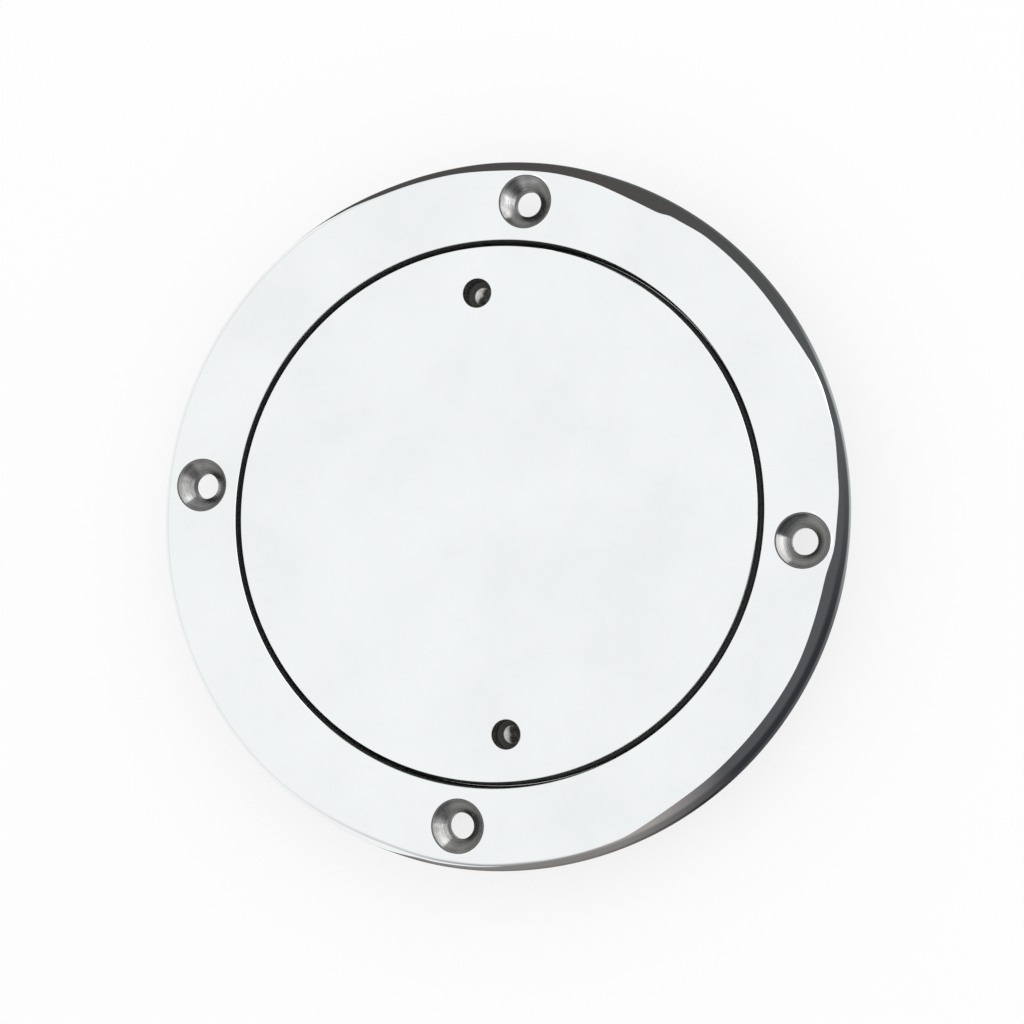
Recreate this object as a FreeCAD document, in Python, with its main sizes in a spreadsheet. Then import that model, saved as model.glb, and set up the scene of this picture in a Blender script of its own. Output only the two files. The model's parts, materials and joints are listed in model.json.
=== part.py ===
import FreeCAD, Part
import os
import re
import Sketcher

# Deck inspection plate for a boat: a round opening in the deck with a screw-in lid.
# Three pieces: the cast and machined deck ring, the lid that screws down into it,
# and the rubber ring that the lid squeezes against the ring's seat.
#
# Frame: the origin is the centre of the flange's underside, where the plate meets the deck.
# +Z points up out of the deck, and the collar hangs below it into the hull's cut-out.
# The four screw holes lie on the X and Y axes.

# Driving sizes, in millimetres and degrees. Radii build outwards from the thread.
SIZES = (
    ("thread_radius", 52.5, "outer radius of the lid's thread"),
    ("thread_depth", 1.4, "from the thread's crest to its root"),
    ("thread_pitch", 4.0, "rise in one turn, right-handed"),
    ("thread_crest", 1.0, "flat width on top of the lid's thread"),
    ("flank_angle", 30.0, "slope of each flank from the radial direction"),
    ("thread_gap", 0.25, "running clearance between the two threads"),
    ("rim_overhang", 2.5, "how far the lid's rim stands out past its thread"),
    ("lid_gap", 1.15, "open ring seen round the lid"),
    ("collar_wall", 1.85, "collar's wall outside the lid's seat"),
    ("screw_inset", 6.25, "from the collar to the screw circle"),
    ("screw_margin", 8.75, "from the screw circle to the flange's edge"),
    ("flange_height", 4.5, "flange's thickness above the deck"),
    ("flange_round", 3.0, "buffed rounding of the flange's outer edge"),
    ("seat_chamfer", 0.5, "chamfer on the flange's inner edge"),
    ("collar_depth", 13.0, "collar's reach below the deck"),
    ("collar_chamfer", 0.8, "lead-in on the collar's outer lower edge"),
    ("edge_break", 0.3, "small chamfer that takes off a sharp edge"),
    ("screw_count", 4.0, "countersunk screw holes in the flange"),
    ("screw_hole", 5.4, "diameter of a screw hole"),
    ("sink_width", 10.8, "diameter of its countersink"),
    ("sink_angle", 90.0, "included angle of the countersink"),
    ("lid_plate", 3.0, "thickness of the lid's disc and rim"),
    ("lid_chamfer", 0.3, "chamfer on the lid's upper edge"),
    ("skirt_depth", 10.5, "lid's threaded skirt below the deck"),
    ("skirt_wall", 3.5, "skirt's wall inside the thread's root"),
    ("skirt_corner", 1.5, "cast corner where the skirt meets the disc"),
    ("relief_width", 3.2, "groove above the thread where the cutter runs out"),
    ("relief_sink", 0.1, "how much deeper than the root that groove is"),
    ("neck_clear", 0.5, "from the seat's floor up to the lid's neck"),
    ("key_count", 2.0, "blind key holes in the lid"),
    ("key_inset", 2.2, "from the skirt's inner wall to the key holes' circle"),
    ("key_angle", 10.3, "turn of the key holes from the Y axis"),
    ("key_hole", 6.0, "diameter of a key hole"),
    ("key_depth", 4.2, "depth of a key hole at its wall"),
    ("key_point", 118.0, "included angle of the drill point"),
    ("boss_radius", 5.0, "boss under each key hole"),
    ("boss_height", 3.8, "boss's height under the disc"),
    ("seal_height", 2.2, "squeezed thickness of the rubber ring"),
    ("seal_width", 2.9, "squeezed width of the rubber ring"),
    ("seal_corner", 0.7, "how far each of its corners is rounded off"),
    ("seal_gap", 0.3, "from the lid's neck to the rubber ring"),
)

# Places that more than one piece shares, as formulas of the sizes above.
SHARED = (
    ("root_radius", "=thread_radius - thread_depth"),
    ("bore_radius", "=root_radius + thread_gap"),
    ("flank_slope", "=tan(flank_angle * 1 deg)"),
    ("lid_radius", "=thread_radius + rim_overhang"),
    ("seat_radius", "=lid_radius + lid_gap"),
    ("collar_radius", "=seat_radius + collar_wall"),
    ("screw_circle", "=collar_radius + screw_inset"),
    ("flange_radius", "=screw_circle + screw_margin"),
    ("rim_under", "=flange_height - lid_plate"),
    ("seat_floor", "=rim_under - seal_height"),
    ("neck_low", "=seat_floor + neck_clear"),
    ("relief_low", "=neck_low - relief_width"),
    ("skirt_inside", "=root_radius - skirt_wall"),
    ("key_circle", "=skirt_inside - key_inset"),
    ("lead_in", "=thread_depth + relief_sink * 2"),
    ("cut_start", "=0 - collar_depth - thread_pitch"),
)

OVERRUN = "thread_depth * 0.3"
TOLERANCE = 0.001

document = FreeCAD.newDocument("deck_inspection_plate")
sheet = document.addObject("Spreadsheet::Sheet", "Sizes")
for row, (alias, value, meaning) in enumerate(SIZES, start=1):
    sheet.set(f"A{row}", meaning)
    sheet.set(f"B{row}", str(value))
    sheet.setAlias(f"B{row}", alias)
for row, (alias, formula) in enumerate(SHARED, start=len(SIZES) + 1):
    sheet.set(f"A{row}", "worked out")
    sheet.set(f"B{row}", formula)
    sheet.setAlias(f"B{row}", alias)
document.recompute()


def bound(formula):
    """The formula with each alias, a name of two words or more, written as a cell of the sheet."""
    return re.sub(r"\b[a-z]+_[a-z_]+\b", r"Sizes.\g<0>", formula)


def origin_part(body, role):
    """The body's own origin plane or axis with this role."""
    return next(item for item in body.Origin.OriginFeatures if item.Role == role)


def new_body(label):
    body = document.addObject("PartDesign::Body", label)
    body.Label = label
    body.Placement = FreeCAD.Placement()
    return body


def new_sketch(body, name, role, height=None):
    """A sketch on one of the body's origin planes, lifted to a height where one is given."""
    sketch = body.newObject("Sketcher::SketchObject", name)
    sketch.AttachmentSupport = (origin_part(body, role), [""])
    sketch.MapMode = "FlatFace"
    if height:
        sketch.setExpression("AttachmentOffset.Base.z", bound(height))
    return sketch


def place_point(sketch, geometry, point, across, up):
    """Ties one point of the sketch to its two distances from the sketch's origin."""
    for kind, formula in (("DistanceX", across), ("DistanceY", up)):
        start = sketch.getPoint(geometry, point)
        value = start.x if kind == "DistanceX" else start.y
        number = sketch.addConstraint(Sketcher.Constraint(kind, -1, 1, geometry, point, value))
        sketch.renameConstraint(number, f"{kind}_{geometry}_{point}")
        sketch.setExpression(f"Constraints[{number}]", bound(formula))


def draw_outline(sketch, corners):
    """A closed outline of straight lines. Its corners start on a circle, and their distances pull them home."""
    spots = [
        FreeCAD.Rotation(FreeCAD.Vector(0, 0, 1), 360 * step / len(corners)).multVec(FreeCAD.Vector(9, 0, 0))
        for step in range(len(corners))
    ]
    for spot, following in zip(spots, spots[1:] + spots[:1]):
        sketch.addGeometry(Part.LineSegment(spot, following), False)
    for line in range(len(corners)):
        sketch.addConstraint(Sketcher.Constraint("Coincident", line, 2, (line + 1) % len(corners), 1))
    for line, (across, up) in enumerate(corners):
        place_point(sketch, line, 1, across, up)


def revolve(body, sketch):
    feature = body.newObject("PartDesign::Revolution", f"{body.Label}_turned")
    feature.Profile = sketch
    feature.ReferenceAxis = (sketch, ["V_Axis"])
    feature.Angle = 360
    document.recompute()


def circles_at(shape, radius, height):
    """Names of the round edges about the Z axis that have this radius and height."""
    found = []
    for number, edge in enumerate(shape.Edges, start=1):
        curve = edge.Curve
        if not isinstance(curve, Part.Circle):
            continue
        if abs(curve.Radius - radius) < TOLERANCE and abs(curve.Center.z - height) < TOLERANCE:
            found.append(f"Edge{number}")
    return found


def fillet_edge(body, name, size, radius, height):
    """A fillet of the given size on the round edge at this radius and height."""
    base = body.Tip
    feature = body.newObject("PartDesign::Fillet", name)
    feature.Base = (base, circles_at(base.Shape, radius, height))
    feature.setExpression("Radius", bound(size))
    document.recompute()


def cut_thread(body, name, corners, climb):
    """A right-hand helical cut that follows the outline from its first place up through the climb."""
    before = body.Tip.Shape.Volume
    sketch = new_sketch(body, f"{name}_section", "XZ_Plane")
    draw_outline(sketch, corners)
    helix = body.newObject("PartDesign::SubtractiveHelix", name)
    helix.Profile = sketch
    helix.ReferenceAxis = (sketch, ["V_Axis"])
    helix.Mode = 0
    helix.setExpression("Pitch", bound("thread_pitch"))
    helix.setExpression("Height", bound(climb))
    document.recompute()
    require_less(helix, before)


def require_less(feature, before):
    """Stops where a cut took nothing away, because it then points away from the solid."""
    if feature.Shape.Volume > before - TOLERANCE:
        raise RuntimeError(f"{feature.Label} cuts nothing")


def draw_circle(sketch, across, up, diameter):
    """A circle tied to its centre's two distances and its diameter."""
    sketch.addGeometry(Part.Circle(FreeCAD.Vector(9, 9, 0), FreeCAD.Vector(0, 0, 1), 1), False)
    place_point(sketch, 0, 3, across, up)
    number = sketch.addConstraint(Sketcher.Constraint("Diameter", 0, 2))
    sketch.setExpression(f"Constraints[{number}]", bound(diameter))
    document.recompute()


def repeat_round(body, feature, count):
    """Copies of the feature spread evenly round the Z axis."""
    pattern = body.newObject("PartDesign::PolarPattern", f"{feature.Label}_pattern")
    pattern.Originals = [feature]
    pattern.Axis = (origin_part(body, "Z_Axis"), [""])
    pattern.Angle = 360
    pattern.setExpression("Occurrences", bound(count))
    body.Tip = pattern
    document.recompute()
    return pattern


def drill(body, name, height, centre, diameter, options, sizes, count):
    """A hole from the given height down, and copies of it spread evenly round the Z axis."""
    before = body.Tip.Shape.Volume
    sketch = new_sketch(body, f"{name}_centre", "XY_Plane", height)
    draw_circle(sketch, *centre, diameter)
    hole = body.newObject("PartDesign::Hole", name)
    hole.Profile = sketch
    for option, choice in options.items():
        setattr(hole, option, choice)
    hole.setExpression("Diameter", bound(diameter))
    for option, formula in sizes.items():
        hole.setExpression(option, bound(formula))
    document.recompute()
    require_less(hole, before)
    single = hole.Shape.Volume
    require_less(repeat_round(body, hole, count), single)


def make_deck_ring():
    """The flange on the deck, its collar, the lid's seat and the thread in the bore."""
    body = new_body("deck_ring")
    section = new_sketch(body, "ring_section", "XZ_Plane")
    bottom = "0 - collar_depth"
    draw_outline(section, [
        ("bore_radius + lead_in", bottom),
        ("collar_radius - collar_chamfer", bottom),
        ("collar_radius", bottom + " + collar_chamfer"),
        ("collar_radius", "0"),
        ("flange_radius - edge_break", "0"),
        ("flange_radius", "edge_break"),
        ("flange_radius", "flange_height"),
        ("seat_radius + seat_chamfer", "flange_height"),
        ("seat_radius", "flange_height - seat_chamfer"),
        ("seat_radius", "seat_floor"),
        ("bore_radius + lead_in", "seat_floor"),
        ("bore_radius", "seat_floor - lead_in"),
        ("bore_radius", bottom + " + lead_in"),
    ])
    revolve(body, section)
    fillet_edge(body, "outer_edge", "flange_round", sheet.flange_radius, sheet.flange_height)
    drill(
        body, "screw_holes", "flange_height", ("screw_circle", "0"), "screw_hole",
        {"DepthType": "ThroughAll", "HoleCutType": "Countersink"},
        {"HoleCutDiameter": "sink_width", "HoleCutCountersinkAngle": "sink_angle"},
        "screw_count",
    )
    root = "thread_crest / 2 + thread_gap - thread_gap * flank_slope"
    mouth = "thread_crest / 2 + thread_gap + ( thread_depth - thread_gap + " + OVERRUN + " ) * flank_slope"
    cut_thread(body, "bore_thread", [
        ("bore_radius - " + OVERRUN, "cut_start - ( " + mouth + " )"),
        ("thread_radius + thread_gap", "cut_start - ( " + root + " )"),
        ("thread_radius + thread_gap", "cut_start + " + root),
        ("bore_radius - " + OVERRUN, "cut_start + " + mouth),
    ], "seat_floor - cut_start + thread_pitch")
    return body


def make_screw_lid():
    """The flush disc with its rim and key holes, and the hollow threaded skirt under it."""
    body = new_body("screw_lid")
    section = new_sketch(body, "lid_section", "XZ_Plane")
    bottom = "0 - skirt_depth"
    draw_outline(section, [
        ("0", "flange_height"),
        ("lid_radius - lid_chamfer", "flange_height"),
        ("lid_radius", "flange_height - lid_chamfer"),
        ("lid_radius", "rim_under"),
        ("thread_radius", "rim_under"),
        ("thread_radius", "neck_low"),
        ("root_radius - relief_sink", "neck_low"),
        ("root_radius - relief_sink", "relief_low"),
        ("thread_radius", "relief_low"),
        ("thread_radius", bottom + " + lead_in"),
        ("thread_radius - lead_in", bottom),
        ("skirt_inside + edge_break", bottom),
        ("skirt_inside", bottom + " + edge_break"),
        ("skirt_inside", "rim_under - skirt_corner"),
        ("skirt_inside - skirt_corner", "rim_under"),
        ("0", "rim_under"),
    ])
    revolve(body, section)
    key_across = "0 - key_circle * sin( key_angle * 1 deg )"
    key_up = "key_circle * cos( key_angle * 1 deg )"
    boss = new_sketch(body, "boss_circle", "XY_Plane", "rim_under")
    draw_circle(boss, key_across, key_up, "boss_radius * 2")
    pad = body.newObject("PartDesign::Pad", "key_boss")
    pad.Profile = boss
    pad.Reversed = True
    pad.setExpression("Length", bound("boss_height"))
    document.recompute()
    repeat_round(body, pad, "key_count")
    drill(
        body, "key_holes", "flange_height", (key_across, key_up), "key_hole",
        {"DepthType": "Dimension", "DrillPoint": "Angled"},
        {"Depth": "key_depth", "DrillPointAngle": "key_point"},
        "key_count",
    )
    root = "( thread_pitch - thread_crest ) / 2 - thread_depth * flank_slope"
    mouth = "( thread_pitch - thread_crest ) / 2"
    start = "cut_start + thread_pitch / 2"
    cut_thread(body, "skirt_thread", [
        ("root_radius", f"{start} - ( {root} )"),
        ("thread_radius", f"{start} - {mouth}"),
        ("thread_radius + " + OVERRUN, f"{start} - {mouth}"),
        ("thread_radius + " + OVERRUN, f"{start} + {mouth}"),
        ("thread_radius", f"{start} + {mouth}"),
        ("root_radius", f"{start} + {root}"),
    ], f"relief_low + relief_width / 2 - ( {start} )")
    return body


def make_lid_seal():
    """The rubber ring, squeezed flat between the lid's rim and the seat."""
    body = new_body("lid_seal")
    sketch = new_sketch(body, "seal_section", "XZ_Plane")
    near = "thread_radius + seal_gap"
    far = f"{near} + seal_width"
    draw_outline(sketch, [
        (f"{near} + seal_corner", "seat_floor"),
        (f"{far} - seal_corner", "seat_floor"),
        (far, "seat_floor + seal_corner"),
        (far, "rim_under - seal_corner"),
        (f"{far} - seal_corner", "rim_under"),
        (f"{near} + seal_corner", "rim_under"),
        (near, "rim_under - seal_corner"),
        (near, "seat_floor + seal_corner"),
    ])
    revolve(body, sketch)
    return body


def check(bodies):
    """Stops before anything is written if an object failed or a piece isn't one valid solid."""
    document.recompute()
    for item in document.Objects:
        if "Invalid" in item.State or "Error" in item.State:
            raise RuntimeError(f"{item.Label} is {item.State}")
    for body in bodies:
        shape = body.Shape
        if shape.isNull() or not shape.isValid() or len(shape.Solids) != 1:
            raise RuntimeError(f"{body.Label} is not one valid solid")


pieces = [make_deck_ring(), make_screw_lid(), make_lid_seal()]
check(pieces)
os.makedirs("parts", exist_ok=True)
for piece in pieces:
    piece.Shape.exportStep(f"parts/{piece.Label}.step")
    print(piece.Label, round(piece.Shape.Volume, 1), "mm3,", len(piece.Shape.Faces), "faces")
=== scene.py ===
"""Looks of a polished steel deck inspection plate: a deck ring, a screw-in lid and a rubber seal."""

import json
import logging
import math
from dataclasses import dataclass
from enum import Enum
from typing import Any, Callable, Iterable, Mapping, Optional, Sequence

import bmesh
import bpy
from mathutils import Matrix, Vector


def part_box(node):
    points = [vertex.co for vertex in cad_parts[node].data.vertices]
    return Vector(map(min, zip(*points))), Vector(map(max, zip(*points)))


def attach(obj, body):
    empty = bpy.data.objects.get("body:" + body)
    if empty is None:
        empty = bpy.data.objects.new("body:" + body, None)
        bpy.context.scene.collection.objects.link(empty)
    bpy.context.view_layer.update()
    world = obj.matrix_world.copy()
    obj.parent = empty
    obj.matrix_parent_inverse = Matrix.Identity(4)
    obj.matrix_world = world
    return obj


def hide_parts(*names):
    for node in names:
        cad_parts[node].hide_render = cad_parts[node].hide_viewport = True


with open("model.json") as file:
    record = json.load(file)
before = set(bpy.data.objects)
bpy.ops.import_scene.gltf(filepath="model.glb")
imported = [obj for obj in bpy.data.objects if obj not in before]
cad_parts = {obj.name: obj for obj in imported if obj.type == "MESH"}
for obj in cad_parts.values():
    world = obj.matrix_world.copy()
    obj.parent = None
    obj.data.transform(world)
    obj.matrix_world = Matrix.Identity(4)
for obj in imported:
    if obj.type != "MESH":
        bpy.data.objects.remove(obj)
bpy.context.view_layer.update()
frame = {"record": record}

MM = 0.001
UP = Vector((0.0, 0.0, 1.0))
LEVEL = (1.0, 1.0, 0.0)
ORIGIN = Vector((0.0, 0.0, 0.0))
WELD = 0.001 * MM
SHARP_ANGLE = math.radians(28)
STEPS = 288
ROUND_PARTS = 8
WHITE = (1.0, 1.0, 1.0, 1.0)

Point = tuple[float, float]
Size3 = tuple[float, float, float]
Colour = tuple[float, float, float, float]
Tones = tuple[tuple[float, Colour], ...]
log = logging.getLogger("deck_plate")


def reach(node: str) -> Size3:
    """A round node's outer radius, lowest height and highest height, in millimetres."""
    low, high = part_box(node)
    return round(high[0] / MM, 2), round(low[2] / MM, 2), round(high[2] / MM, 2)


def mount(name: str) -> Mapping[str, float]:
    """The sizes of one of the part's mounts, as the record states them."""
    return next(row["dims"] for row in frame["record"]["mounts"] if row["name"] == name)


RING_RADIUS, RING_BOTTOM, RING_TOP = reach("deck_ring")
LID_RADIUS, LID_BOTTOM, LID_TOP = reach("screw_lid")
SEAL_RADIUS, SEAL_BOTTOM, SEAL_TOP = reach("lid_seal")
SCREWS = mount("deck_screws")
KEYS = mount("key_holes")
COLLAR = mount("collar")


class Surface(Enum):
    """The finishes of the steel pieces, in the order of their material slots."""

    MIRROR = 0
    TURNED = 1
    CAST = 2
    SUNK = 3
    # The gap between lid and ring: rougher turned steel, painted a little darker as shade.
    SHADED_GAP = 4


@dataclass(frozen=True)
class Stretch:
    """A run of an outline that has one finish.

    Attributes:
        surface: The finish of the faces that the run sweeps out.
        points: The run's points, as radius and height in metres.
    """

    surface: Surface
    points: tuple[Point, ...]


def rgb(red: float, green: float, blue: float) -> Colour:
    """An opaque colour from its three linear parts."""
    return (red, green, blue, 1.0)


def scaled(*points: Point) -> tuple[Point, ...]:
    """The points, given in millimetres, in metres."""
    return tuple((radius * MM, height * MM) for radius, height in points)


def round_about(azimuth: float, radius: float, height: float) -> Vector:
    """The place in metres at this azimuth in degrees, with radius and height in millimetres."""
    angle = math.radians(azimuth)
    return Vector((math.cos(angle) * radius, math.sin(angle) * radius, height)) * MM


def ease(value: float, low: float, high: float) -> float:
    """How far a value is from low to high, from 0 to 1, with a smooth start and end."""
    share = min(1.0, max(0.0, (value - low) / (high - low)))
    return share * share * (3.0 - 2.0 * share)


def along(points: Sequence[Point], place: float) -> float:
    """The height at a place on a smooth line through some points, which are sorted by place."""
    for (near, low), (far, high) in zip(points, points[1:]):
        if place <= far:
            return low + (high - low) * ease(place, near, far)
    return points[-1][1]


def arc(centre: Point, radius: float, start: float, stop: float, parts: int) -> tuple[Point, ...]:
    """Points along an arc of an outline.

    Args:
        centre: The arc's centre, as radius and height.
        radius: The arc's radius.
        start: Angle of the first point in degrees, from the outward direction towards up.
        stop: Angle of the last point.
        parts: How many straight parts the arc has.

    Returns:
        The points from start to stop, both included.
    """
    angles = [math.radians(start + (stop - start) * part / parts) for part in range(parts + 1)]
    return tuple((centre[0] + radius * math.cos(a), centre[1] + radius * math.sin(a)) for a in angles)


def turn(stretches: Iterable[Stretch], steps: int, centre: Vector = ORIGIN) -> bmesh.types.BMesh:
    """Turns an outline a full turn about a vertical axis, as a lathe does.

    Args:
        stretches: The outline's runs, end to end.
        steps: How many faces go round.
        centre: A point on the axis.

    Returns:
        The closed shape, with each run's finish as its faces' material.
    """
    shape = bmesh.new()
    for stretch in stretches:
        before = len(shape.faces)
        corners = [shape.verts.new(centre + Vector((r, 0.0, z))) for r, z in stretch.points]
        lines = [shape.edges.new(pair) for pair in zip(corners, corners[1:])]
        bmesh.ops.spin(
            shape, geom=corners + lines, cent=centre, axis=UP, angle=math.tau, steps=steps, use_merge=True
        )
        shape.faces.ensure_lookup_table()
        for face in shape.faces[before:]:
            face.material_index = stretch.surface.value
    bmesh.ops.remove_doubles(shape, verts=shape.verts, dist=WELD)
    bmesh.ops.dissolve_degenerate(shape, edges=shape.edges, dist=WELD)
    bmesh.ops.recalc_face_normals(shape, faces=shape.faces)
    return shape


def wind(outline: Sequence[Point], pitch: float, turns: float, steps: int) -> bmesh.types.BMesh:
    """Sweeps a closed outline along a right-hand helix about the Z axis.

    Args:
        outline: The section's corners at the helix's lower end, as radius and height.
        pitch: Rise in one turn.
        turns: How many turns the helix has.
        steps: How many faces one turn has.

    Returns:
        The closed helical body.
    """
    shape = bmesh.new()
    corners = [shape.verts.new((radius, 0.0, height)) for radius, height in outline]
    lines = [shape.edges.new(pair) for pair in zip(corners, corners[1:] + corners[:1])]
    bmesh.ops.spin(
        shape, geom=corners + lines, cent=ORIGIN, axis=UP, angle=turns * math.tau,
        dvec=UP * (pitch / steps), steps=round(turns * steps),
    )
    bmesh.ops.holes_fill(shape, edges=shape.edges, sides=len(outline))
    bmesh.ops.recalc_face_normals(shape, faces=shape.faces)
    for face in shape.faces:
        face.material_index = Surface.TURNED.value
    return shape


def unit_sheet(shape: bmesh.types.BMesh, columns: int, rows: int) -> Sequence[bmesh.types.BMVert]:
    """Adds a flat sheet that goes from 0 to 1 in X and Y, to be bent into a card.

    Args:
        shape: The shape that the sheet is added to.
        columns: How many faces it has along X.
        rows: How many faces it has along Y.

    Returns:
        The sheet's vertices.
    """
    half = 0.5
    place = Matrix.Translation((half, half, 0.0))
    return bmesh.ops.create_grid(shape, x_segments=columns, y_segments=rows, size=half, matrix=place)["verts"]


def settle(shape: bmesh.types.BMesh, name: str, finishes: Sequence[bpy.types.Material]) -> bpy.types.Object:
    """Makes a shape an object of the scene.

    Args:
        shape: The shape, which is used up.
        name: The object's name.
        finishes: Its materials, in slot order.

    Returns:
        The new object, at the origin.
    """
    mesh = bpy.data.meshes.new(name)
    shape.to_mesh(mesh)
    shape.free()
    for finish in finishes:
        mesh.materials.append(finish)
    made = bpy.data.objects.new(name, mesh)
    bpy.context.scene.collection.objects.link(made)
    return made


def combine(target: bpy.types.Object, tool: bmesh.types.BMesh, operation: str) -> None:
    """Cuts a shape from an object or joins it on, and uses the shape up.

    Args:
        target: The object that is changed.
        tool: The shape that cuts or joins.
        operation: DIFFERENCE or UNION.
    """
    cutter = settle(tool, "tool", list(target.data.materials))
    modifier = target.modifiers.new("combine", "BOOLEAN")
    modifier.object = cutter
    modifier.operation = operation
    modifier.solver = "EXACT"
    modifier.material_mode = "INDEX"
    graph = bpy.context.evaluated_depsgraph_get()
    mesh = bpy.data.meshes.new_from_object(target.evaluated_get(graph))
    target.modifiers.clear()
    old = target.data
    target.data = mesh
    mesh.name = target.name
    bpy.data.meshes.remove(old)
    cut = cutter.data
    bpy.data.objects.remove(cutter)
    bpy.data.meshes.remove(cut)


def smooth(target: bpy.types.Object) -> None:
    """Shades an object smooth between its sharp edges, with its broad faces kept true."""
    target.data.shade_smooth()
    target.data.set_sharp_from_angle(angle=SHARP_ANGLE)
    modifier = target.modifiers.new("even_shading", "WEIGHTED_NORMAL")
    modifier.keep_sharp = True


def hide_from_light(card: bpy.types.Object) -> None:
    """Leaves a card of the studio visible to reflections alone."""
    card.visible_camera = False
    card.visible_diffuse = False
    card.visible_transmission = False
    card.visible_shadow = False


class Graph:
    """Adds nodes to one node tree and wires them."""

    def __init__(self, tree: bpy.types.NodeTree) -> None:
        """Takes over the tree and empties it."""
        self.tree = tree
        tree.nodes.clear()

    def node(self, kind: str, sockets: Optional[Mapping[Any, Any]] = None, **settings: Any) -> bpy.types.Node:
        """Adds one node.

        Args:
            kind: The node's type name.
            sockets: What goes into its inputs, by name or number: another node's output, or a value.
            **settings: The node's own properties.

        Returns:
            The new node.
        """
        made = self.tree.nodes.new(kind)
        for name, value in settings.items():
            setattr(made, name, value)
        for name, value in (sockets or {}).items():
            if isinstance(value, bpy.types.NodeSocket):
                self.tree.links.new(value, made.inputs[name])
            else:
                made.inputs[name].default_value = value
        return made

    def math(self, operation: str, *values: Any) -> bpy.types.NodeSocket:
        """The output of a Math node on these values."""
        return self.node("ShaderNodeMath", dict(enumerate(values)), operation=operation).outputs[0]

    def vector(self, operation: str, *values: Any, output: str = "Vector") -> bpy.types.NodeSocket:
        """The output of a Vector Math node on these values."""
        return self.node("ShaderNodeVectorMath", dict(enumerate(values)), operation=operation).outputs[output]

    def span(
        self, value: Any, low: float, high: float, to_low: float = 0.0, to_high: float = 1.0
    ) -> bpy.types.NodeSocket:
        """The value carried from one span to another, smoothly and clamped."""
        sockets = {"Value": value, "From Min": low, "From Max": high, "To Min": to_low, "To Max": to_high}
        return self.node("ShaderNodeMapRange", sockets, interpolation_type="SMOOTHSTEP").outputs["Result"]

    def mix(self, factor: Any, first: Any, second: Any) -> bpy.types.NodeSocket:
        """A value between two values."""
        change = self.math("MULTIPLY", self.math("SUBTRACT", second, first), factor)
        return self.math("ADD", first, change)

    def blend(self, factor: Any, first: Any, second: Any) -> bpy.types.NodeSocket:
        """A colour between two colours."""
        made = self.node("ShaderNodeMix", data_type="RGBA")
        for socket, value in ((made.inputs[0], factor), (made.inputs[6], first), (made.inputs[7], second)):
            if isinstance(value, bpy.types.NodeSocket):
                self.tree.links.new(value, socket)
            else:
                socket.default_value = value
        return made.outputs[2]

    def noise(self, vector: Any, scale: float, detail: float, rough: float = 0.5) -> bpy.types.NodeSocket:
        """The value of a Noise texture."""
        sockets = {"Vector": vector, "Scale": scale, "Detail": detail, "Roughness": rough}
        return self.node("ShaderNodeTexNoise", sockets).outputs[0]

    def bump(self, height: Any, depth: float, strength: float) -> bpy.types.NodeSocket:
        """The normal of a surface with this relief, whose heights from 0 to 1 are so deep in metres."""
        sockets = {"Height": height, "Distance": depth, "Strength": strength}
        return self.node("ShaderNodeBump", sockets).outputs[0]


def new_group(name: str, inputs: Mapping[str, str], outputs: Mapping[str, str]) -> bpy.types.NodeTree:
    """An empty shader node group with the given sockets.

    Args:
        name: The group's name.
        inputs: Its inputs' socket types by name.
        outputs: Its outputs' socket types by name.

    Returns:
        The new group.
    """
    group = bpy.data.node_groups.new(name, "ShaderNodeTree")
    for label, kind in inputs.items():
        group.interface.new_socket(name=label, in_out="INPUT", socket_type=kind)
    for label, kind in outputs.items():
        group.interface.new_socket(name=label, in_out="OUTPUT", socket_type=kind)
    return group


def polish_marks() -> bpy.types.NodeTree:
    """What a buffing wheel leaves: hairlines, a soft haze and a faint unevenness."""
    group = new_group(
        "polish_marks", {"Place": "NodeSocketVector"},
        {"Hairlines": "NodeSocketFloat", "Haze": "NodeSocketFloat", "Sway": "NodeSocketFloat"},
    )
    graph = Graph(group)
    place = graph.node("NodeGroupInput").outputs["Place"]
    hairlines: Any = 0.0
    for angle, stretch in ((0.3, 26.0), (1.4, 30.0), (2.5, 22.0)):
        way = {"Vector": place, "Rotation": (0.0, 0.0, angle), "Scale": (stretch, 1.0, 1.0)}
        turned = graph.node("ShaderNodeMapping", way).outputs[0]
        streak = graph.noise(turned, scale=130.0, detail=3.0, rough=0.6)
        line = graph.span(streak, low=0.66, high=0.74)
        hairlines = graph.math("MAXIMUM", hairlines, line)
    haze = graph.noise(place, scale=45.0, detail=4.0, rough=0.6)
    sway = graph.noise(place, scale=28.0, detail=1.0)
    graph.node("NodeGroupOutput", {"Hairlines": hairlines, "Haze": haze, "Sway": sway})
    return group


def tool_rings() -> bpy.types.NodeTree:
    """Fine rings and broad bands that a cutting tool leaves about an axis, from the distance to it."""
    bands_per_ring = 0.14
    group = new_group(
        "tool_rings", {"Distance": "NodeSocketFloat", "Rings": "NodeSocketFloat"},
        {"Height": "NodeSocketFloat", "Tone": "NodeSocketFloat"},
    )
    graph = Graph(group)
    given = graph.node("NodeGroupInput").outputs
    run = graph.math("MULTIPLY", given["Distance"], given["Rings"])
    broad = graph.math("MULTIPLY", run, bands_per_ring)
    fine = graph.node("ShaderNodeTexNoise", {"W": run, "Scale": 1.0, "Detail": 2.0}, noise_dimensions="1D")
    wide = graph.node("ShaderNodeTexNoise", {"W": broad, "Scale": 1.0}, noise_dimensions="1D")
    graph.node("NodeGroupOutput", {"Height": fine.outputs[0], "Tone": wide.outputs[0]})
    return group


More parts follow.
